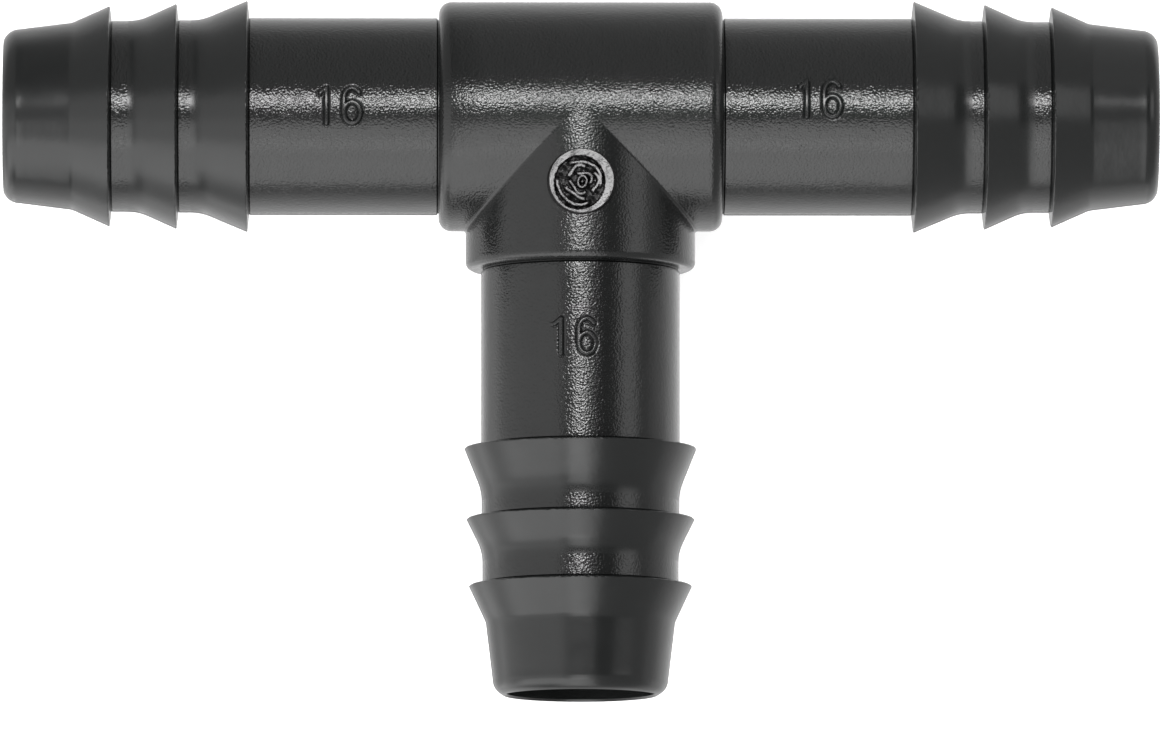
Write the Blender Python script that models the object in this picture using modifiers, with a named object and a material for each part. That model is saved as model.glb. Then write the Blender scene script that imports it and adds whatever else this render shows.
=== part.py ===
"""Barbed tee connector for 16 mm polyethylene irrigation pipe, lying flat on a table.

The run lies along X, the branch points to -Y and +Z is up. The origin is on the table, below
the middle of the tee's bounding box. All three passages are open and meet in the hub.

The real tee is one moulding. It is modelled as its four moulded regions, a hub and three barbed
spigots, which meet at the hub's shoulders with a hairline gap between them.
"""

from math import cos, pi, sin

import bpy

MM = 0.001

# Driving dimensions in millimetres. Lengths along a spigot are measured from the tee's centre,
# where the run's axis and the branch's axis cross.
BORE_RADIUS = 5.15
SPIGOT_RADIUS = 6.85
RUN_SHOULDER = 9.85
RUN_END = 40.07
HUB_RADIUS = 7.97
COLLAR_RADIUS = 7.93
COLLAR_SHOULDER = 10.70
CASING_ROUNDING = 0.85
COLLAR_ROUNDING = 0.50
SEAM_GAP = 0.30

# The branch's nose is a little longer than the run's.
BRANCH_END = 40.35

# Each barb: its sharp rim's place and radius, then its foot's place and radius. The branch's rims
# sit where the run's do, but its cones are a little shorter and stouter.
RUN_BARBS = (
    (23.20, 8.02, 26.35, 6.69),
    (28.12, 7.80, 30.70, 6.64),
    (32.77, 7.64, 35.32, 6.50),
)
BRANCH_BARBS = (
    (23.20, 8.02, 26.15, 6.82),
    (28.12, 7.88, 30.38, 6.76),
    (32.77, 7.70, 35.28, 6.52),
)
RIM_THICKNESS = 0.08

# A barb's back leans outwards, so that its root lies this much nearer the hub than its rim.
BACK_DRAFT = 0.20

# The nose tapers from the last barb's foot and ends in a flat ring with a small outer chamfer.
NOSE_TIP_RADIUS = 6.07
NOSE_CHAMFER = (0.45, 0.25)

# A round moulded mark on the collar, facing up.
MARK_RADIUS = 2.34
MARK_DISTANCE = 5.40
MARK_HEIGHT = 0.11

SEGMENTS = 48
MARK_SEGMENTS = 24
ROUNDING_STEPS = 3
CUTTER_OVERRUN = 2.0

WIDEST_RADIUS = RUN_BARBS[0][1]
CENTRE = (0.0, (BRANCH_END - WIDEST_RADIUS) / 2, WIDEST_RADIUS)

TOWARDS_LEFT = (0.0, -pi / 2, 0.0)
TOWARDS_RIGHT = (0.0, pi / 2, 0.0)
TOWARDS_BRANCH = (pi / 2, 0.0, 0.0)


def clear_scene():
    for obj in list(bpy.data.objects):
        bpy.data.objects.remove(obj, do_unlink=True)


def new_collection(name):
    collection = bpy.data.collections.new(name)
    bpy.context.scene.collection.children.link(collection)
    return collection


def plastic(name, colour, roughness):
    """Polypropylene, coloured all through."""
    material = bpy.data.materials.new(name)
    material.use_nodes = True
    shader = material.node_tree.nodes["Principled BSDF"]
    shader.inputs["Base Color"].default_value = (*colour, 1.0)
    shader.inputs["Roughness"].default_value = roughness
    shader.inputs["Metallic"].default_value = 0.0
    return material


def turned(name, outline, rotation, collection, closed):
    """A solid of revolution about the local Z axis, turned to lie along a spigot's direction.

    The outline is a list of (distance from the centre, radius) in millimetres. It runs down its
    outer side, from the far end back towards the centre.
    """
    count = len(outline)
    edges = [(i, i + 1) for i in range(count - 1)]
    if closed:
        edges.append((count - 1, 0))
    mesh = bpy.data.meshes.new(name)
    mesh.from_pydata([(radius * MM, 0.0, along * MM) for along, radius in outline], edges, [])
    obj = bpy.data.objects.new(name, mesh)
    obj.location = [c * MM for c in CENTRE]
    obj.rotation_euler = rotation
    collection.objects.link(obj)
    screw = obj.modifiers.new("Turn", "SCREW")
    screw.steps = SEGMENTS
    screw.render_steps = SEGMENTS
    screw.use_merge_vertices = True
    screw.merge_threshold = 0.00001
    screw.use_smooth_shade = True
    return obj


def rounded_shoulder(shoulder, radius, rounding):
    """The quarter circle at a shoulder's outer edge, from its end face to its outer wall."""
    angles = [pi / 2 * step / ROUNDING_STEPS for step in range(ROUNDING_STEPS + 1)]
    return [
        (
            shoulder - rounding * (1 - cos(angle)),
            radius - rounding * (1 - sin(angle)),
        )
        for angle in angles
    ]


def mirrored(outline):
    """The same outline on the other side of the centre, still running down its outer side."""
    return [(-along, radius) for along, radius in reversed(outline)]


def spigot_outline(root, tip, barbs):
    """The closed section through one side of a spigot's wall, from its tip to its root."""
    outline = [
        (tip, BORE_RADIUS),
        (tip, NOSE_TIP_RADIUS - NOSE_CHAMFER[1]),
        (tip - NOSE_CHAMFER[0], NOSE_TIP_RADIUS),
    ]
    behind = [SPIGOT_RADIUS, *(barb[3] for barb in barbs[:-1])]
    for (rim, rim_radius, foot, foot_radius), back_radius in zip(
        reversed(barbs), reversed(behind)
    ):
        outline += [
            (foot, foot_radius),
            (rim, rim_radius),
            (rim - RIM_THICKNESS / 2, rim_radius - RIM_THICKNESS),
            (rim - BACK_DRAFT, back_radius),
        ]
    return outline + [(root, SPIGOT_RADIUS), (root, BORE_RADIUS)]


def make_spigot(name, root, tip, barbs, rotation, collection, material):
    outline = spigot_outline(root, tip, barbs)
    obj = turned(name, outline, rotation, collection, closed=True)
    obj.data.materials.append(material)
    return obj


def helper(obj):
    """Marks a solid that only cuts or joins another."""
    obj.hide_render = True
    obj.display_type = "WIRE"
    return obj


def combine(obj, other, operation):
    boolean = obj.modifiers.new(f"{operation.title()} {other.name}", "BOOLEAN")
    boolean.operation = operation
    boolean.solver = "EXACT"
    boolean.object = other


def mark_pad(collection):
    """A short upright cylinder whose flat top stands just above the collar's crest."""
    top = COLLAR_RADIUS + MARK_HEIGHT
    bottom = BORE_RADIUS + (COLLAR_RADIUS - BORE_RADIUS) / 3
    bpy.ops.mesh.primitive_cylinder_add(
        vertices=MARK_SEGMENTS,
        radius=MARK_RADIUS * MM,
        depth=(top - bottom) * MM,
        location=(
            CENTRE[0] * MM,
            (CENTRE[1] - MARK_DISTANCE) * MM,
            (CENTRE[2] + (top + bottom) / 2) * MM,
        ),
    )
    pad = bpy.context.active_object
    pad.name = "mark_pad"
    for owner in list(pad.users_collection):
        owner.objects.unlink(pad)
    collection.objects.link(pad)
    return pad


def make_hub(parts, cutters, material):
    """The run's casing joined with the branch's collar, with the tee-shaped passage cut out."""
    shoulder = rounded_shoulder(RUN_SHOULDER, HUB_RADIUS, CASING_ROUNDING)
    casing_outline = [(RUN_SHOULDER, 0.0), *shoulder, *mirrored(shoulder), (-RUN_SHOULDER, 0.0)]
    hub = turned("hub", casing_outline, TOWARDS_RIGHT, parts, closed=False)
    hub.data.materials.append(material)

    collar_outline = [
        (COLLAR_SHOULDER, 0.0),
        *rounded_shoulder(COLLAR_SHOULDER, COLLAR_RADIUS, COLLAR_ROUNDING),
        (0.0, COLLAR_RADIUS),
        (0.0, 0.0),
    ]
    collar = turned("collar_union", collar_outline, TOWARDS_BRANCH, cutters, closed=False)
    run_end = RUN_SHOULDER + CUTTER_OVERRUN
    branch_end = COLLAR_SHOULDER + CUTTER_OVERRUN
    run_bore = turned(
        "run_bore_cutter",
        [(run_end, 0.0), (run_end, BORE_RADIUS), (-run_end, BORE_RADIUS), (-run_end, 0.0)],
        TOWARDS_RIGHT,
        cutters,
        closed=False,
    )
    branch_bore = turned(
        "branch_bore_cutter",
        [(branch_end, 0.0), (branch_end, BORE_RADIUS), (0.0, BORE_RADIUS), (0.0, 0.0)],
        TOWARDS_BRANCH,
        cutters,
        closed=False,
    )
    combine(hub, helper(collar), "UNION")
    combine(hub, helper(mark_pad(cutters)), "UNION")
    combine(hub, helper(run_bore), "DIFFERENCE")
    combine(hub, helper(branch_bore), "DIFFERENCE")
    return hub


def main():
    clear_scene()
    parts = new_collection("barbed_tee_connector")
    cutters = new_collection("cutters")
    run_root = RUN_SHOULDER + SEAM_GAP
    branch_root = COLLAR_SHOULDER + SEAM_GAP

    make_hub(parts, cutters, plastic("hub_plastic", (0.045, 0.047, 0.047), 0.42))
    spigots = (
        ("run_spigot_left", run_root, RUN_END, RUN_BARBS, TOWARDS_LEFT),
        ("run_spigot_right", run_root, RUN_END, RUN_BARBS, TOWARDS_RIGHT),
        ("branch_spigot", branch_root, BRANCH_END, BRANCH_BARBS, TOWARDS_BRANCH),
    )
    for name, root, tip, barbs, rotation in spigots:
        material = plastic(f"{name}_plastic", (0.042, 0.044, 0.044), 0.38)
        make_spigot(name, root, tip, barbs, rotation, parts, material)


main()
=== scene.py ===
from math import cos, pi, radians, sin

import bmesh
import bpy
import numpy as np
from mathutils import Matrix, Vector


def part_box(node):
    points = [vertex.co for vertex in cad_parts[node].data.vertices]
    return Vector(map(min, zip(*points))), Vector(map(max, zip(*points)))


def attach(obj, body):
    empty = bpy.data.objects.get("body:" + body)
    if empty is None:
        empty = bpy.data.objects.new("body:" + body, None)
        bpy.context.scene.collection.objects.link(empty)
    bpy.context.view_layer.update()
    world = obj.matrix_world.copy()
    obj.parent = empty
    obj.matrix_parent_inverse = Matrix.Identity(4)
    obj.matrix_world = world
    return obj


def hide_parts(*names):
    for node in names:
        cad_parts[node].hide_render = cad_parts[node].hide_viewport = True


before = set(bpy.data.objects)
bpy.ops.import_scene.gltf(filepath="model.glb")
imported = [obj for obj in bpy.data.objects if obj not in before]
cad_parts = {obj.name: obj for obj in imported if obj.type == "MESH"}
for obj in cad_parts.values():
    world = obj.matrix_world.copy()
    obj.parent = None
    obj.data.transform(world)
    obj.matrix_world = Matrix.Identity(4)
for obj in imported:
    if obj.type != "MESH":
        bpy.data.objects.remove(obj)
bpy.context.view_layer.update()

# Lengths below are in millimetres, and MM turns them into the scene's metres. "Along" is the
# distance from the tee's centre, where the run's axis and the branch's axis cross.
MM = 0.001


def box_mm(node):
    return [np.array(corner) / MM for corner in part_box(node)]


HUB_LOW, HUB_HIGH = box_mm("hub")
RIGHT_LOW, RIGHT_HIGH = box_mm("run_spigot_right")
BRANCH_LOW, _ = box_mm("branch_spigot")

CENTRE = np.array([0.0, (RIGHT_LOW[1] + RIGHT_HIGH[1]) / 2, (RIGHT_LOW[2] + RIGHT_HIGH[2]) / 2])
RUN_END = RIGHT_HIGH[0]
BRANCH_END = CENTRE[1] - BRANCH_LOW[1]
HUB_RADIUS = HUB_HIGH[1] - CENTRE[1]
RUN_SHOULDER = HUB_HIGH[0]
COLLAR_SHOULDER = CENTRE[1] - HUB_LOW[1]

# The passages, the wall and the rounded lip round each mouth.
BORE_RADIUS = 5.15
SPIGOT_RADIUS = 6.85
MOUTH_ROUNDING = 0.16
NOSE_TIP_RADIUS = 6.05
LIP_RADIUS = 1.2
LIP_STEPS = 12

# Each barb: its sharp rim's place and radius, then its foot's place and radius. A barb's back leans
# outwards, so that its root lies BACK_DRAFT nearer the hub than its rim, in a small groove. The foot
# next to the nose is the crispest.
RUN_BARBS = (
    (23.20, 8.02, 26.35, 6.69),
    (28.12, 7.80, 30.70, 6.64),
    (32.77, 7.64, 35.32, 6.50),
)
BRANCH_BARBS = (
    (23.20, 8.02, 26.15, 6.82),
    (28.12, 7.88, 30.38, 6.76),
    (32.77, 7.70, 35.28, 6.52),
)
RIM_THICKNESS = 0.07
BACK_DRAFT = 0.20
BACK_GROOVE_DEPTH = 0.06
FOOT_ROUNDINGS = (0.70, 0.70, 0.20)
RIM_ROUNDING = 0.03
BACK_ROUNDING = 0.02

# The rims are ragged, out and a little less so along the spigot. The raggedness is full by the rim's
# crest, just behind its edge, and fades over RAGGED_WIDTH along the spigot and RAGGED_DEPTH inwards.
RIM_RAGGEDNESS = 0.03
RAGGED_ALONG = 0.8
RAGGED_WIDTH = 0.06
RAGGED_DEPTH = 0.2
RAGGED_CREST = 0.03
RAGGED_BEHIND = 0.02

# The hub's edges, the crease between its casing and its collar, and the groove round each spigot's
# root. The pieces overlap a little there, so that no seam shows.
CASING_ROUNDING = 0.88
COLLAR_ROUNDING = 0.50
CREASE_FILLET = 0.25
FILLET_PASSES = 4
ROOT_GROOVE_WIDTH = 0.13
ROOT_GROOVE_DEPTH = 0.13
ROOT_ROUNDINGS = (0.04, 0.03)
SEAM_OVERLAP = 0.02

# The casing's top sinks a little from here to its left end.
LEFT_SINK_FROM = 6.9
LEFT_SINK = 0.05
LEFT_SINK_CURVE = 1.5
LEFT_SINK_NARROWNESS = 4

# A faint ridge where the two halves of the mould met, level with the axes. It is only on the outside,
# so it fades in at these distances from the passage. The meshes have extra lines beside it, at these
# angles in degrees.
PARTING_HEIGHT = 0.035
PARTING_WIDTH = 0.07
PARTING_FADE = (0.3, 0.6)
PARTING_ANGLES = (0.3, 0.6, 0.9, 1.3)

# The size numerals, a plain 16. The one is a stem with a flag that reaches left and down, and the six
# is a bowl with a stem that ends in an arc. Sideways places are from the numeral's middle.
NUMERAL_HEIGHT = 2.83
NUMERAL_WIDTH = 3.3
NUMERAL_MARGIN_ALONG = 0.25
NUMERAL_MARGIN_ACROSS = 0.35
ONE_STEM = -0.95
ONE_FLAG = (0.42, 0.34)
SIX_LEFT, SIX_RIGHT = 0.25, 1.40
SIX_BOWL_RADIUS = 0.72
SIX_END_ANGLE = 35

# The numerals' strokes: raised, slightly domed, with a fine groove at their foot.
STROKE_WIDTH = 0.41
STROKE_EDGE = 0.12
STROKE_RELIEF = 0.21
STROKE_DOME = 0.03
STROKE_GROOVE_WIDTH = 0.09
STROKE_GROOVE_DEPTH = 0.03

# Where the numerals' middles stand, sideways and towards the run, from the tee's centre.
LEFT_NUMERAL = (-16.68, -0.02)
RIGHT_NUMERAL = (16.53, 0.46)
BRANCH_NUMERAL = (-0.44, -16.02)

# The round mark on the collar: a disc whose crests stand MARK_RAISE above the collar, with a slight
# tilt that presses it deeper on the side towards the run. The field between its rings is uneven and
# lies about MARK_DEPTH below the crests. From MARK_SHADED_DEPTH down it gets a darker finish that
# barely reflects: painted shade in its grooves and round its edge. The collar's skin sinks by
# MARK_RECESS under the disc, up to MARK_RECESS_MARGIN from its edge.
MARK_RADIUS = 2.40
MARK_DISTANCE = 5.37
MARK_RAISE = 0.13
MARK_TILT = 2.6
MARK_DEPTH = 0.38
MARK_UNEVENNESS = 0.07
MARK_WEAR = 0.010
MARK_BEVEL_WIDTH = 0.15
MARK_BEVEL_DEPTH = 0.42
MARK_SHADED_DEPTH = 0.42
MARK_RECESS = 0.8
MARK_RECESS_MARGIN = 0.28
MARK_SKIRT = 1.2
MARK_ROWS = 72
MARK_TURNS = 180

# The mark's plain raised rings, a little off centre. Each is its centre's place (sideways, towards
# the run), its inner and outer radius, how many waves it has and how deep they are, and its breaks.
# A ring's edges slope over MARK_RING_EDGE, down to MARK_RING_DEPTH, and it breaks where a wave round
# it, from -1 to 1, falls through MARK_BREAK.
MARK_RING_EDGE = 0.13
MARK_RING_DEPTH = 0.44
MARK_BREAK = (-0.9, -0.5)
MARK_RINGS = (
    (-0.14, -0.12, 1.84, 3.00, 2, 0.07, 0),
    (-0.18, -0.12, 1.42, 1.58, 3, 0.07, 2),
    (0.02, -0.08, 0.98, 1.18, 4, 0.11, 3),
    (-0.04, -0.10, 0.62, 0.78, 3, 0.12, 2),
    (0.05, -0.06, 0.28, 0.40, 2, 0.05, 0),
    (0.04, -0.06, 0.00, 0.06, 2, 0.01, 0),
)

# How finely the meshes are divided. Only stretches over LONG_STRETCH get fine steps for a numeral. A
# turn step is in degrees, and the hub's fine ones reach MARK_REACH degrees to both sides of the mark.
# The first NEAR_CREASE share of an arm has ARM_ROWS rows, as has the rest of it, apart from the
# collar's. MERGE_DISTANCE is in metres and SHARP_ANGLE in degrees.
TURN_STEP = 1.8
FINE_STEP = 0.045
COARSE_STEP = 0.45
LONG_STRETCH = 1.0
CORNER_STEPS = 5
HUB_TURN_STEP = 1.5
HUB_FINE_TURN_STEP = 0.75
MARK_REACH = 21
NEAR_CREASE = 0.25
ARM_ROWS = 16
COLLAR_ROWS = 72
EDGE_ROWS = 8
MERGE_DISTANCE = 1e-7
SHARP_ANGLE = 38

# A face's finish is one of these places in its piece's list of materials. SHADED is painted shade:
# the mark's deep grooves and edge, darker and barely reflecting.
GRAINED, SMOOTH, WORN, SHADED = range(4)


# ---------------------------------------------------------------------------------------------
# Outlines
# ---------------------------------------------------------------------------------------------

# A corner's curve takes at most this share of the stretches beside it.
LONGEST_CURVE = 0.48


def rounded(corners):
    """The outline's points, with each corner (along, radius, rounding, finish) drawn as a curve.

    A corner's finish is that of the stretch that follows it. The outline is a closed loop.
    """
    points = []
    count = len(corners)
    for index, (along, radius, rounding, finish) in enumerate(corners):
        corner = np.array([along, radius])
        if not rounding:
            points.append((along, radius, finish))
            continue
        before = np.array(corners[index - 1][:2])
        after = np.array(corners[(index + 1) % count][:2])
        to_before, to_after = before - corner, after - corner
        start = corner + to_before * min(rounding / np.linalg.norm(to_before), LONGEST_CURVE)
        end = corner + to_after * min(rounding / np.linalg.norm(to_after), LONGEST_CURVE)
        for step in range(CORNER_STEPS + 1):
            t = step / CORNER_STEPS
            x, y = (1 - t) ** 2 * start + 2 * t * (1 - t) * corner + t**2 * end
            points.append((x, y, finish))
    return points


def subdivided(points, fine_from, fine_to):
    """The outline with its long stretches split, finely where the size numerals stand."""
    result = []
    count = len(points)
    for index, (along, radius, finish) in enumerate(points):
        next_along, next_radius, _ = points[(index + 1) % count]
        length = np.hypot(next_along - along, next_radius - radius)
        on_outside = min(radius, next_radius) > BORE_RADIUS + MOUTH_ROUNDING
        cuts = {0.0}
        if length > COARSE_STEP:
            cuts |= set(np.linspace(0, 1, int(np.ceil(length / COARSE_STEP)), endpoint=False))
        if on_outside and abs(next_along - along) > LONG_STRETCH:
            fine = np.arange(fine_from, fine_to, FINE_STEP)
            shares = (fine - along) / (next_along - along)
            cuts |= {share for share in shares if 0 < share < 1}
        for share in sorted(cuts):
            result.append((
                along + (next_along - along) * share,
                radius + (next_radius - radius) * share,
                finish,
            ))
    return result


def nose_lip(tip):
    """The corners round a nose's lip, from the mouth's edge out to the nose's flank."""
    middle_radius = NOSE_TIP_RADIUS - LIP_RADIUS
    first = np.arcsin((BORE_RADIUS + MOUTH_ROUNDING - middle_radius) / LIP_RADIUS)
    middle = tip - LIP_RADIUS * cos(first)
    return [
        (middle + LIP_RADIUS * cos(angle), middle_radius + LIP_RADIUS * sin(angle), 0, SMOOTH)
        for angle in np.linspace(first, pi / 2, LIP_STEPS)
    ]


def spigot_corners(shoulder, tip, barbs):
    """The closed section of a spigot's wall, from its tip round by the outside to its root."""
    root = shoulder - SEAM_OVERLAP
    groove_radius = SPIGOT_RADIUS - ROOT_GROOVE_DEPTH
    corners = [(tip - MOUTH_ROUNDING, BORE_RADIUS, 0, SMOOTH), *nose_lip(tip)]
    behind = [SPIGOT_RADIUS, *(barb[3] for barb in barbs[:-1])]
    for barb, back_radius, foot_rounding in reversed(list(zip(barbs, behind, FOOT_ROUNDINGS))):
        rim, rim_radius, foot, foot_radius = barb
        slope = (rim_radius - foot_radius) / (foot - rim)
        corners += [
            (foot, foot_radius, foot_rounding, SMOOTH),
            (rim + 2 * RAGGED_WIDTH, rim_radius - slope * 2 * RAGGED_WIDTH, 0, SMOOTH),
            (rim + RAGGED_WIDTH, rim_radius - slope * RAGGED_WIDTH, 0, SMOOTH),
            (rim, rim_radius, RIM_ROUNDING, SMOOTH),
            (rim - RIM_THICKNESS, rim_radius - RIM_THICKNESS, RIM_ROUNDING, SMOOTH),
            (rim - BACK_DRAFT, back_radius - BACK_GROOVE_DEPTH, BACK_ROUNDING, GRAINED),
            (rim - BACK_DRAFT - BACK_GROOVE_DEPTH, back_radius, BACK_ROUNDING, GRAINED),
        ]
    return corners + [
        (shoulder + ROOT_GROOVE_WIDTH, SPIGOT_RADIUS, ROOT_ROUNDINGS[0], SMOOTH),
        (shoulder + ROOT_GROOVE_WIDTH / 2, groove_radius, ROOT_ROUNDINGS[1], SMOOTH),
        (shoulder, groove_radius, 0, SMOOTH),
        (root, groove_radius, 0, SMOOTH),
        (root, BORE_RADIUS + SEAM_OVERLAP, 0, SMOOTH),
    ]


# ---------------------------------------------------------------------------------------------
# Relief: numerals, parting line and ragged rims
# ---------------------------------------------------------------------------------------------

def arc(centre, radii, start, end, steps=14):
    """Points on part of an ellipse, with its angles in degrees."""
    angles = np.radians(np.linspace(start, end, steps))
    return np.column_stack([
        centre[0] + radii[0] * np.cos(angles),
        centre[1] + radii[1] * np.sin(angles),
    ])


def numeral_strokes():
    """The strokes of a plain 16, as lines of points about the middle of the numeral."""
    top = (NUMERAL_HEIGHT - STROKE_WIDTH) / 2
    flag_end = (ONE_STEM - ONE_FLAG[0], top - ONE_FLAG[1])
    one = np.array([flag_end, (ONE_STEM, top), (ONE_STEM, -top)])
    middle = (SIX_LEFT + SIX_RIGHT) / 2
    radii = ((SIX_RIGHT - SIX_LEFT) / 2, SIX_BOWL_RADIUS)
    bowl = arc((middle, -top + SIX_BOWL_RADIUS), radii, 0, 360, 25)
    stem = np.vstack([
        [(SIX_LEFT, -top + SIX_BOWL_RADIUS)],
        arc((middle, top - SIX_BOWL_RADIUS), radii, 180, SIX_END_ANGLE),
    ])
    return one, bowl, stem


def distance_to_strokes(x, y, strokes):
    """How far each point is from the nearest stroke's centre line."""
    nearest = np.full(x.shape, np.inf)
    for stroke in strokes:
        for (ax, ay), (bx, by) in zip(stroke[:-1], stroke[1:]):
            dx, dy = bx - ax, by - ay
            share = np.clip(((x - ax) * dx + (y - ay) * dy) / (dx * dx + dy * dy), 0, 1)
            nearest = np.minimum(nearest, np.hypot(x - ax - share * dx, y - ay - share * dy))
    return nearest


def smooth_step(value, low, high):
    share = np.clip((value - low) / (high - low), 0, 1)
    return share * share * (3 - 2 * share)


def ripple(angle, seed):
    """An uneven wave round a full turn, about -1 to 1, the same on every run."""
    waves = ((5, 0.2), (13, 0.2), (29, 0.2), (53, 0.3), (83, 0.35), (97, 0.3))
    return sum(
        share * np.sin(count * angle + seed * count * 1.7 + count**1.5) for count, share in waves
    )


def numeral_relief(points, numeral):
    """How far each point on a spigot's upper side moves out for the strokes of its numeral."""
    x, y = points[..., 0] - CENTRE[0], points[..., 1] - CENTRE[1]
    near = distance_to_strokes(x - numeral[0], y - numeral[1], numeral_strokes())
    foot = STROKE_WIDTH / 2
    relief = STROKE_RELIEF * (1 - smooth_step(near, foot - STROKE_EDGE, foot))
    relief = relief + STROKE_DOME * np.clip(1 - (near / foot) ** 2, 0, 1)
    groove = smooth_step(abs(near - foot - STROKE_GROOVE_WIDTH / 4), STROKE_GROOVE_WIDTH / 2, 0)
    relief = relief - STROKE_GROOVE_DEPTH * groove
    return relief * (points[..., 2] > CENTRE[2] + SPIGOT_RADIUS / 2)


def parting_ridge(angle, radius):
    """The ridge's height at each angle from the top."""
    off_line = np.abs(np.abs(np.mod(angle, 2 * pi) - pi) - pi / 2) * radius
    return PARTING_HEIGHT * np.exp(-((off_line / PARTING_WIDTH) ** 2))


def ragged_wall(along, radius, turn, barbs, seed):
    """A turned wall's places along and out from its axis, with its parting ridge and ragged rims."""
    outside = smooth_step(radius, *(BORE_RADIUS + fade for fade in PARTING_FADE))
    radii = radius + outside * parting_ridge(turn, radius)
    alongs = along + 0 * turn
    for index, (rim, rim_radius, _, _) in enumerate(barbs):
        behind = abs(along - rim + RAGGED_BEHIND)
        on_rim = smooth_step(radius, rim_radius - RAGGED_DEPTH, rim_radius - RAGGED_CREST)
        on_rim = on_rim * (1 - smooth_step(behind, RAGGED_CREST, RAGGED_WIDTH))
        radii = radii + RIM_RAGGEDNESS * ripple(turn, seed + index) * on_rim
        shift = ripple(turn, seed + index + 7)
        alongs = alongs - RIM_RAGGEDNESS * RAGGED_ALONG * shift * on_rim
    return alongs, radii


# ---------------------------------------------------------------------------------------------
# Meshes
# ---------------------------------------------------------------------------------------------

def turn_angles(fine_half_width, radius):
    """Angles from the top round a full turn, closer together by the numerals and parting lines."""
    angles = set(np.round(np.arange(0, 360, TURN_STEP), 4))
    fine = np.degrees(FINE_STEP / radius)
    reach = np.degrees(fine_half_width / radius)
    near_top = np.arange(-reach, reach + fine, fine)
    angles = {a for a in angles if not (a < reach or a > 360 - reach)}
    angles |= set(np.round(np.mod(near_top, 360), 4))
    for side in (90, 270):
        for off in PARTING_ANGLES:
            angles |= {side - off, side + off}
    return np.radians(sorted(angles))


def mesh_object(name, points_mm, faces, finishes, materials):
    """A smooth-shaded mesh whose faces point outwards. finishes gives each face's material."""
    mesh = bpy.data.meshes.new(name)
    mesh.from_pydata((np.asarray(points_mm) * MM).tolist(), [], faces)
    for material in materials:
        mesh.materials.append(material)
    mesh.polygons.foreach_set("material_index", finishes)
    work = bmesh.new()
    work.from_mesh(mesh)
    bmesh.ops.remove_doubles(work, verts=work.verts, dist=MERGE_DISTANCE)
    bmesh.ops.recalc_face_normals(work, faces=work.faces)
    work.to_mesh(mesh)
    work.free()
    mesh.shade_smooth()
    mesh.set_sharp_from_angle(angle=radians(SHARP_ANGLE))
    piece = bpy.data.objects.new(name, mesh)
    bpy.context.scene.collection.objects.link(piece)
    return piece


def grid_faces(rows, columns, closed_rows=True, start=0):
    """Quads over a grid of points that closes on itself across its columns."""
    faces = []
    for row in range(rows if closed_rows else rows - 1):
        below = (row + 1) % rows
        for column in range(columns):
            right = (column + 1) % columns
            faces.append((
                start + row * columns + column,
                start + row * columns + right,
                start + below * columns + right,
                start + below * columns + column,
            ))
    return faces


def spigot(name, direction, sideways, shoulder, tip, barbs, numeral, materials, seed):
    """One barbed spigot: a turned wall with its numerals, parting ridge and ragged rims.

    It runs in direction from its shoulder to its tip, and its section turns from the top sideways.
    """
    direction, sideways = np.array(direction), np.array(sideways)
    along_numeral = abs(np.array(numeral) @ direction[:2])
    across = NUMERAL_HEIGHT if direction[0] else NUMERAL_WIDTH
    along_size = NUMERAL_WIDTH if direction[0] else NUMERAL_HEIGHT
    outline = subdivided(
        rounded(spigot_corners(shoulder, tip, barbs)),
        along_numeral - along_size / 2 - NUMERAL_MARGIN_ALONG,
        along_numeral + along_size / 2 + NUMERAL_MARGIN_ALONG,
    )
    angles = turn_angles(across / 2 + NUMERAL_MARGIN_ACROSS, SPIGOT_RADIUS)
    along = np.array([point[0] for point in outline])[:, None]
    radius = np.array([point[1] for point in outline])[:, None]
    finish = [point[2] for point in outline]
    turn = angles[None, :]

    alongs, radii = ragged_wall(along, radius, turn, barbs, seed)
    up = np.array([0.0, 0.0, 1.0])
    spokes = np.cos(turn)[..., None] * up + np.sin(turn)[..., None] * sideways
    points = CENTRE + alongs[..., None] * direction + radii[..., None] * spokes
    relief = numeral_relief(points, numeral) * (radius > (BORE_RADIUS + SPIGOT_RADIUS) / 2)
    points = points + relief[..., None] * spokes

    rows, columns = radii.shape
    finishes = np.repeat(finish, columns)
    finishes[relief.reshape(-1) != 0] = SMOOTH
    return mesh_object(name, points.reshape(-1, 3), grid_faces(rows, columns), finishes, materials)


def blended_out(points, radius):
    """Points near the crease between two equal cylinders, moved out onto a small fillet.

    Each pass moves them along the slope of the two cylinders' blended distance. Only the branch's
    side has a crease, so points on the run's far side stay.
    """
    for _ in range(FILLET_PASSES):
        x, y, z = (points - CENTRE).T
        run_distance = np.hypot(y, z)
        branch_distance = np.hypot(x, z)
        to_run = np.stack([0 * x, y, z], axis=1) / run_distance[:, None]
        to_branch = np.stack([x, 0 * y, z], axis=1) / branch_distance[:, None]
        gap_run, gap_branch = run_distance - radius, branch_distance - radius
        reach = CREASE_FILLET * (1 - np.sum(to_run * to_branch, axis=1)) + 1e-6
        overlap = np.clip(1 - np.abs(gap_run - gap_branch) / reach, 0, 1)
        blended = np.minimum(gap_run, gap_branch) - reach * overlap**2 / 4
        share = np.clip(0.5 + 0.5 * (gap_branch - gap_run) / reach, 0, 1)[:, None]
        slope = to_run * share + to_branch * (1 - share)
        size = np.linalg.norm(slope, axis=1)
        move = np.where((overlap > 0) & (y < 0.01), -blended / size**2, 0)
        points = points + move[:, None] * slope
    return points


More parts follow.
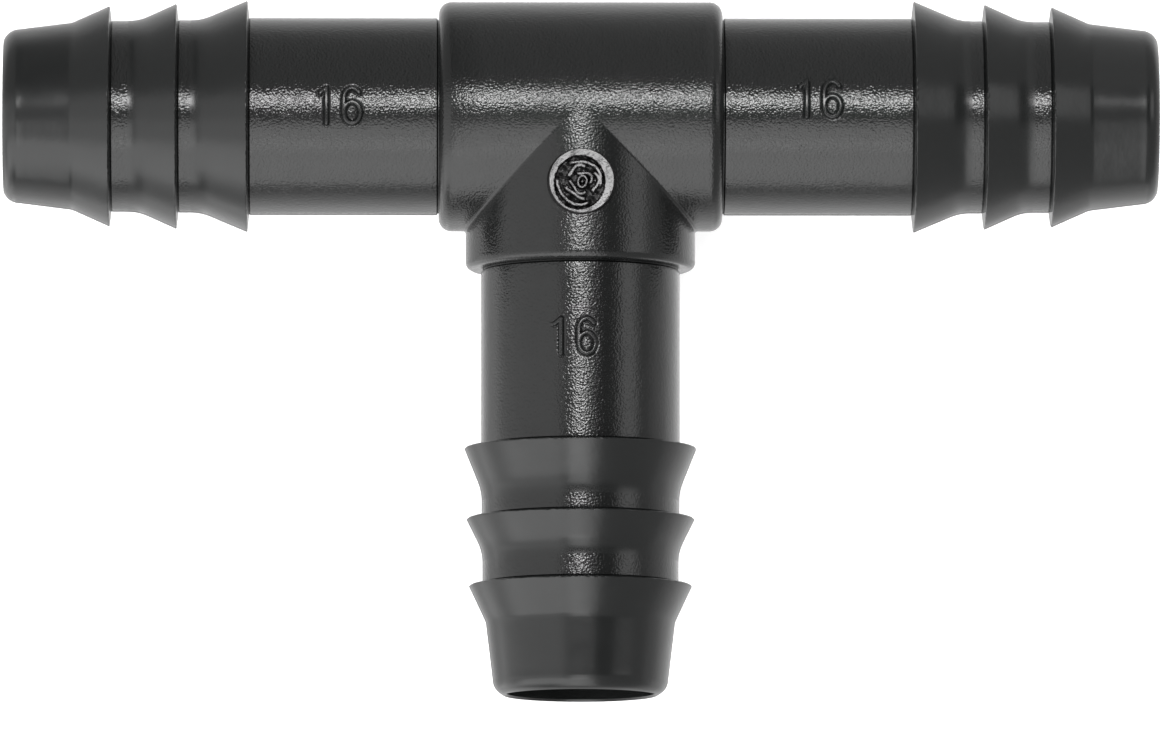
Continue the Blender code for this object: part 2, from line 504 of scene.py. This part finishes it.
def tee_wall(radius, angles, run_rows, branch_rows, fillet):
    """The skin of two crossing tubes of one radius, as grids of points for its three arms.

    run_rows and branch_rows are (share, along, radius) for each row out from the crease: at share 0
    a row lies on the crease, and from share 1 it lies at its own place along the arm.
    """
    arms = []
    up = np.cos(angles) * radius
    out = np.sin(angles) * radius
    for side in (1, -1):
        start = np.maximum(out, 0)
        grid = []
        for share, along, row_radius in run_rows:
            scale = row_radius / radius
            x = start + (along - start) * share
            grid.append(CENTRE + np.stack([side * x, -out * scale, up * scale], axis=1))
        arms.append(np.array(grid))
    start = np.abs(out)
    grid = []
    for share, along, row_radius in branch_rows:
        scale = row_radius / radius
        y = start + (along - start) * share
        grid.append(CENTRE + np.stack([out * scale, -y, up * scale], axis=1))
    arms.append(np.array(grid))
    if not fillet:
        return arms
    return [blended_out(arm.reshape(-1, 3), radius).reshape(arm.shape) for arm in arms]


def with_left_sink(points):
    """The hub's points, with the top of its casing drawn in a little towards the left end."""
    x, y, z = (points - CENTRE).T
    near_top = np.clip(z / np.hypot(y, z), 0, 1) ** LEFT_SINK_NARROWNESS
    sunk = LEFT_SINK * np.clip(-x - LEFT_SINK_FROM, 0, None) ** LEFT_SINK_CURVE * near_top
    scale = 1 - sunk / HUB_RADIUS
    return CENTRE + np.stack([x, y * scale, z * scale], axis=1)


def with_mark_recess(points):
    """The hub's points, with the collar's skin sunk out of the way of the round mark's field."""
    x, y, z = (points - CENTRE).T
    under = np.hypot(x, y + MARK_DISTANCE) < MARK_RADIUS - MARK_RECESS_MARGIN
    return points - np.stack([0 * x, 0 * y, MARK_RECESS * (under & (z > SPIGOT_RADIUS))], axis=1)


def arm_rows(shoulder, radius, rounding=0, far_rows=ARM_ROWS):
    """Rows from the crease to a shoulder: round the shoulder's edge and in across its end face.

    Without a rounding they are an inner wall's, and stop at the shoulder.
    """
    near_shares = np.linspace(0, NEAR_CREASE, ARM_ROWS)
    far_shares = np.linspace(NEAR_CREASE, 1, far_rows)[1:]
    shares = [*near_shares, *far_shares]
    straight_end = shoulder - rounding
    rows = [(share, straight_end, radius) for share in shares]
    if not rounding:
        return rows
    for step in range(1, EDGE_ROWS + 1):
        turn = step / EDGE_ROWS * pi / 2
        rows.append((
            1.0,
            straight_end + rounding * sin(turn),
            radius - rounding * (1 - cos(turn)),
        ))
    for row_radius in (SPIGOT_RADIUS, SPIGOT_RADIUS - ROOT_GROOVE_DEPTH, BORE_RADIUS):
        rows.append((1.0, shoulder, row_radius))
    return rows


def mark_relief(x, y):
    """The mark's height over its crest, which its rings reach and the rough field between doesn't."""
    relief = MARK_UNEVENNESS * np.sin(6.5 * x + 3 * y) * np.cos(7 * y - 2 * x) - MARK_DEPTH
    for side, back, inner, outer, waves, wave_depth, breaks in MARK_RINGS:
        distance = np.hypot(x - side, y - back)
        angle = np.arctan2(y - back, x - side)
        distance = distance + wave_depth * np.sin(waves * angle + waves)
        raised = 1 - smooth_step(distance, outer, outer + MARK_RING_EDGE)
        if inner:
            raised = raised * smooth_step(distance, inner - MARK_RING_EDGE, inner)
        if breaks:
            raised = raised * smooth_step(np.sin(breaks * angle + 2 * waves), *MARK_BREAK)
        relief = np.maximum(relief, MARK_RING_DEPTH * (raised - 1))
    worn = np.sin(2.1 * x + 1.3) * np.sin(2.7 * y - 0.4) + 0.5 * np.sin(6.3 * x - 3.1 * y)
    edge = smooth_step(np.hypot(x, y), MARK_RADIUS - MARK_BEVEL_WIDTH, MARK_RADIUS)
    return relief + MARK_WEAR * worn - MARK_BEVEL_DEPTH * edge


def mark_mesh():
    """The mark's points, faces and finishes: a disc with its rings, and a skirt that enters the
    collar. Its deepest parts get the dark, barely reflecting finish, as painted shade.
    """
    turn = np.linspace(0, 2 * pi, MARK_TURNS, endpoint=False)
    radius = np.linspace(0, MARK_RADIUS, MARK_ROWS)[:, None]
    x, y = radius * np.sin(turn), radius * np.cos(turn)
    relief = mark_relief(x, y)
    height = MARK_RAISE + relief - y * np.tan(radians(MARK_TILT))
    disc = np.stack([x, y, height], axis=2)
    skirt = disc[-1:] * (1, 1, 0) - (0, 0, MARK_SKIRT)
    bottom = skirt * (0, 0, 1)
    grid = np.concatenate([disc, skirt, bottom])
    depth = np.concatenate([-relief, np.full((2, MARK_TURNS), MARK_SKIRT)])
    faces = grid_faces(len(grid), MARK_TURNS, closed_rows=False)
    face_depth = depth.reshape(-1)[np.array(faces)].mean(axis=1)
    # Faces deeper than MARK_SHADED_DEPTH get painted shade: the dark, barely reflecting finish.
    finishes = np.where(face_depth > MARK_SHADED_DEPTH, SHADED, WORN).tolist()
    middle = CENTRE + np.array([0.0, -MARK_DISTANCE, HUB_RADIUS])
    return (middle + grid).reshape(-1, 3), faces, finishes


def hub(name, materials):
    """The run's casing and the branch's collar as one skin, with the tee-shaped passage inside."""
    all_round = np.arange(0, 360, HUB_TURN_STEP)
    on_one_side = np.arange(0, MARK_REACH, HUB_FINE_TURN_STEP)
    on_the_other = np.arange(360 - MARK_REACH, 360, HUB_FINE_TURN_STEP)
    angles = np.radians(sorted({*all_round, *on_one_side, *on_the_other}))
    columns = len(angles)
    outer = tee_wall(
        HUB_RADIUS,
        angles,
        arm_rows(RUN_SHOULDER, HUB_RADIUS, CASING_ROUNDING),
        arm_rows(COLLAR_SHOULDER, HUB_RADIUS, COLLAR_ROUNDING, COLLAR_ROWS),
        fillet=True,
    )
    inner = tee_wall(
        BORE_RADIUS,
        angles,
        arm_rows(RUN_SHOULDER, BORE_RADIUS),
        arm_rows(COLLAR_SHOULDER, BORE_RADIUS),
        fillet=False,
    )
    points, faces, finishes = [], [], []
    total = 0
    for arm in outer + inner:
        rows = len(arm)
        found = grid_faces(rows, columns, closed_rows=False, start=total)
        points.append(with_mark_recess(with_left_sink(arm.reshape(-1, 3))))
        faces += found
        finishes += [GRAINED] * len(found)
        total += rows * columns
    mark_points, mark_faces, mark_finishes = mark_mesh()
    points.append(mark_points)
    faces += [tuple(corner + total for corner in face) for face in mark_faces]
    finishes += mark_finishes
    return mesh_object(name, np.concatenate(points), faces, finishes, materials)


# ---------------------------------------------------------------------------------------------
# Materials
# ---------------------------------------------------------------------------------------------

def node(tree, kind, links=(), **settings):
    """A new node. links gives (input, source socket) pairs, and settings its properties."""
    made = tree.nodes.new(kind)
    for key, value in settings.items():
        setattr(made, key, value)
    for target, source in links:
        tree.links.new(source, made.inputs[target])
    return made


# Each finish of the black polypropylene: its colour, its roughness, its grain's height and scale
# (features per millimetre), and its refractive index. The dull finish's darker colour and low
# refractive index are painted shade, for the mark's deep grooves and its edge.
FINISHES = {
    "grained_black_pp": ((0.0058, 0.0062, 0.0061), 0.15, 0.0225, 6.8, 1.49),
    "finely_grained_black_pp": ((0.0058, 0.0062, 0.0061), 0.09, 0.0225, 6.8, 1.49),
    "smooth_black_pp": ((0.0058, 0.0064, 0.0063), 0.22, 0.004, 3.0, 1.49),
    "worn_black_pp": ((0.006, 0.006, 0.006), 0.20, 0.011, 5.0, 1.49),
    # Painted shade: darker and barely reflecting, for the mark's deep grooves and round its edge.
    "painted_shade_black_pp": ((0.004, 0.004, 0.004), 0.40, 0.006, 6.0, 1.12),
}

# Roughness varies by this much in soft patches, as where the skin was handled, over the range that
# most of the noise is in. The skin is also slightly wavy under its grain.
PATCH_SCALE = 0.35
PATCH_ROUGHNESS = (-0.03, 0.04)
PATCH_NOISE = (0.3, 0.7)
WAVE_SCALE = 0.5
WAVE_HEIGHT = 0.02


def polypropylene(name):
    """Black polypropylene: a satin moulded skin with fine orange peel and faint handling marks."""
    colour, roughness, grain_height, grain_scale, ior = FINISHES[name]
    material = bpy.data.materials.new(name)
    material.use_nodes = True
    tree = material.node_tree
    shader = tree.nodes["Principled BSDF"]
    shader.inputs["Base Color"].default_value = (*colour, 1)
    shader.inputs["IOR"].default_value = ior

    place = node(tree, "ShaderNodeTexCoord")
    in_mm = node(tree, "ShaderNodeMapping", [("Vector", place.outputs["Object"])])
    in_mm.inputs["Scale"].default_value = (1 / MM, 1 / MM, 1 / MM)

    def noise(scale, detail):
        made = node(tree, "ShaderNodeTexNoise", [("Vector", in_mm.outputs["Vector"])])
        made.inputs["Scale"].default_value = scale
        made.inputs["Detail"].default_value = detail
        made.inputs["Roughness"].default_value = 0.5
        return made.outputs["Fac"]

    def bump(height, distance, links=()):
        made = node(tree, "ShaderNodeBump", [("Height", height), *links])
        made.inputs["Distance"].default_value = distance * MM
        made.inputs["Strength"].default_value = 1.0
        return made.outputs["Normal"]

    spread = node(tree, "ShaderNodeMapRange", [("Value", noise(PATCH_SCALE, 3))])
    spread.inputs["From Min"].default_value = PATCH_NOISE[0]
    spread.inputs["From Max"].default_value = PATCH_NOISE[1]
    spread.inputs["To Min"].default_value = roughness + PATCH_ROUGHNESS[0]
    spread.inputs["To Max"].default_value = roughness + PATCH_ROUGHNESS[1]
    tree.links.new(spread.outputs["Result"], shader.inputs["Roughness"])

    wavy = bump(noise(WAVE_SCALE, 1), WAVE_HEIGHT)
    peeled = bump(noise(grain_scale, 1), grain_height, [("Normal", wavy)])
    tree.links.new(peeled, shader.inputs["Normal"])
    return material


def floor_material():
    material = bpy.data.materials.new("pale_floor")
    material.use_nodes = True
    shader = material.node_tree.nodes["Principled BSDF"]
    shader.inputs["Base Color"].default_value = (0.93, 0.93, 0.93, 1)
    shader.inputs["Roughness"].default_value = 0.9
    shader.inputs["Specular IOR Level"].default_value = 0.1
    shader.inputs["Emission Color"].default_value = (1, 1, 1, 1)
    shader.inputs["Emission Strength"].default_value = FLOOR_GLOW
    return material


# ---------------------------------------------------------------------------------------------
# Stage
# ---------------------------------------------------------------------------------------------

# The studio's soft boxes, walls and flags, as seen from the tee. Each has its sideways angles from
# straight up in degrees (low, high, softness of its edges), the same lengthways, and how much it
# adds to the studio's level. A flag is dark, so it takes from it.
SOFT_BOXES = {
    "key": ((-8.5, 5.8, 4), (8, 16.5, 4), 26.5),
    "key, right of it": ((9, 17, 4), (10, 17, 2), 5.0),
    "front panel": ((-20, 9, 28), (-95, -38, 12), 2.9),
    "front panel, left": ((-84, -20, 28), (-74, -31, 20), 1.75),
    "front panel's middle": ((-8, 15, 10), (-75, -48, 10), 0.40),
    "front panel, right of it": ((8, 18, 4), (-95, -10, 10), 1.0),
    "front strip": ((-13, 9, 6), (-42, -13, 5), 2.8),
    "front floor": ((-85, 60, 30), (-150, -103, 8), 0.55),
    "left wall": ((-125, -20, 14), (-84, 18, 16), 1.0),
    "left wall, front": ((-110, -14, 14), (-24, -9, 8), 0.5),
    "left floor, front": ((-110, -46, 16), (-112, -82, 8), 0.5),
    "right box": ((46, 68, 8), (-4, 26, 8), 1.4),
    "right floor": ((90, 150, 12), (-60, 110, 30), 0.35),
    "right light at the back": ((5, 22, 8), (26, 110, 16), 0.25),
    "flag by the right box": ((18, 42, 8), (-14, 32, 12), -0.4),
    "flag at the back": ((-18, -6, 8), (28, 100, 16), -0.38),
}
STUDIO_LEVEL = 0.65

# Light from below, by its angle from straight up.
BELOW_LEVEL = 0.5
BELOW_FROM, BELOW_TO = 102, 130


def studio_world():
    """A dim studio with soft boxes, pale all round as the camera sees it.

    A direction's sideways and lengthways angles are its angle from straight up, shared out between
    the run's and the branch's directions.
    """
    world = bpy.data.worlds.new("studio")
    bpy.context.scene.world = world
    world.use_nodes = True
    tree = world.node_tree
    tree.nodes.clear()

    def result(operation, *values):
        made = node(tree, "ShaderNodeMath", operation=operation)
        for index, value in enumerate(values):
            if isinstance(value, (int, float)):
                made.inputs[index].default_value = value
            else:
                tree.links.new(value, made.inputs[index])
        return made.outputs[0]

    def ramp(value, low, high):
        made = node(tree, "ShaderNodeMapRange", [("Value", value)])
        made.interpolation_type = "SMOOTHSTEP"
        made.inputs["From Min"].default_value = low
        made.inputs["From Max"].default_value = high
        return made.outputs["Result"]

    direction = node(tree, "ShaderNodeTexCoord").outputs["Generated"]
    split = node(tree, "ShaderNodeSeparateXYZ", [("Vector", direction)])
    x, y, z = split.outputs
    flat = result("SQRT", result("ADD", result("MULTIPLY", x, x), result("MULTIPLY", y, y)))
    from_top = result("MULTIPLY", result("ARCTAN2", flat, z), 180 / pi)
    scale = result("DIVIDE", from_top, result("MAXIMUM", flat, 1e-4))
    sideways = result("MULTIPLY", x, scale)
    lengthways = result("MULTIPLY", y, scale)

    def between(value, low, high, soft):
        half = soft / 2
        from_low = ramp(value, low - half, low + half)
        to_high = ramp(value, high + half, high - half)
        return result("MULTIPLY", from_low, to_high)

    below = ramp(from_top, BELOW_FROM, BELOW_TO)
    light = result("ADD", STUDIO_LEVEL, result("MULTIPLY", below, BELOW_LEVEL))
    for sideways_span, lengthways_span, level in SOFT_BOXES.values():
        across = between(sideways, *sideways_span)
        inside = result("MULTIPLY", across, between(lengthways, *lengthways_span))
        light = result("ADD", light, result("MULTIPLY", inside, level))

    lit = node(tree, "ShaderNodeBackground", [("Strength", light)])
    pale = node(tree, "ShaderNodeBackground")
    pale.inputs["Strength"].default_value = 1.0
    seen = node(tree, "ShaderNodeLightPath").outputs["Is Camera Ray"]
    mixed = node(tree, "ShaderNodeMixShader", [(0, seen), (1, lit.outputs[0]), (2, pale.outputs[0])])
    node(tree, "ShaderNodeOutputWorld", [("Surface", mixed.outputs[0])])
    world.cycles.sampling_method = "MANUAL"
    world.cycles.sample_map_resolution = 512


# A broad overhead light that fills the shadows, and a floor lit a little from below, as on a
# light table. FILL_TILT leans the light away from the branch's side.
FILL_STRENGTH = 0.9
FILL_TILT = 25
FILL_SPREAD = 90
FLOOR_GLOW = 0.6
FLOOR_HALF_SIZE = 1500


def overhead_fill():
    data = bpy.data.lights.new("overhead_fill", "SUN")
    data.energy = FILL_STRENGTH
    data.angle = radians(FILL_SPREAD)
    lamp = bpy.data.objects.new("overhead_fill", data)
    lamp.rotation_euler = (-radians(FILL_TILT), 0, 0)
    lamp.visible_glossy = False
    bpy.context.scene.collection.objects.link(lamp)


def pale_floor():
    half = FLOOR_HALF_SIZE * MM
    corners = [(-half, -half, 0), (half, -half, 0), (half, half, 0), (-half, half, 0)]
    mesh = bpy.data.meshes.new("floor")
    mesh.from_pydata(corners, [], [(0, 1, 2, 3)])
    mesh.materials.append(floor_material())
    floor = bpy.data.objects.new("floor", mesh)
    bpy.context.scene.collection.objects.link(floor)
    floor.visible_glossy = False


# The camera looks down on the tee, a little from the branch's side and from the left. AIM is the
# point at the picture's middle, as a distance from the tee's centre towards the branch's end, and
# PICTURE_WIDTH is the width of what the camera sees there. CLIP_END is how far it sees.
CAMERA_TILT = 5.9
CAMERA_SIDE_TILT = 0.6
CAMERA_DISTANCE = 1250
AIM = 18.035
AIM_SIDE = -0.03
PICTURE_WIDTH = 80.5
SENSOR_WIDTH = 36
CLIP_END = 20000


def add_camera():
    data = bpy.data.cameras.new("camera")
    data.sensor_width = SENSOR_WIDTH
    data.lens = SENSOR_WIDTH * CAMERA_DISTANCE / PICTURE_WIDTH
    data.clip_end = CLIP_END * MM
    camera = bpy.data.objects.new("camera", data)
    tilt, side = radians(CAMERA_TILT), radians(CAMERA_SIDE_TILT)
    aim = CENTRE + np.array([AIM_SIDE, -AIM, 0])
    away = np.array([-cos(tilt) * sin(side), -sin(tilt), cos(tilt) * cos(side)])
    camera.location = (aim + CAMERA_DISTANCE * away) * MM
    camera.rotation_euler = (tilt, -side, 0)
    bpy.context.scene.collection.objects.link(camera)
    bpy.context.scene.camera = camera


# ---------------------------------------------------------------------------------------------
# The tee
# ---------------------------------------------------------------------------------------------

def main():
    add_camera()
    studio_world()
    overhead_fill()
    pale_floor()
    finish = {name: polypropylene(name) for name in FINISHES}
    smooth = finish["smooth_black_pp"]
    # The hub's fourth finish, the dull one, is painted shade for the mark's deep parts.
    hub_materials = [
        finish["grained_black_pp"], smooth, finish["worn_black_pp"], finish["painted_shade_black_pp"],
    ]
    spigot_materials = [finish["finely_grained_black_pp"], smooth]
    pieces = {
        "hub": hub("hub_moulding", hub_materials),
        "run_spigot_left": spigot(
            "left_spigot_moulding", (-1, 0, 0), (0, -1, 0), RUN_SHOULDER, RUN_END, RUN_BARBS,
            LEFT_NUMERAL, spigot_materials, seed=1,
        ),
        "run_spigot_right": spigot(
            "right_spigot_moulding", (1, 0, 0), (0, -1, 0), RUN_SHOULDER, RUN_END, RUN_BARBS,
            RIGHT_NUMERAL, spigot_materials, seed=11,
        ),
        "branch_spigot": spigot(
            "branch_spigot_moulding", (0, -1, 0), (1, 0, 0), COLLAR_SHOULDER, BRANCH_END, BRANCH_BARBS,
            BRANCH_NUMERAL, spigot_materials, seed=21,
        ),
    }
    for cad_node, piece in pieces.items():
        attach(piece, "root")
        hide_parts(cad_node)
    bpy.context.scene.view_settings.view_transform = "Standard"


main()
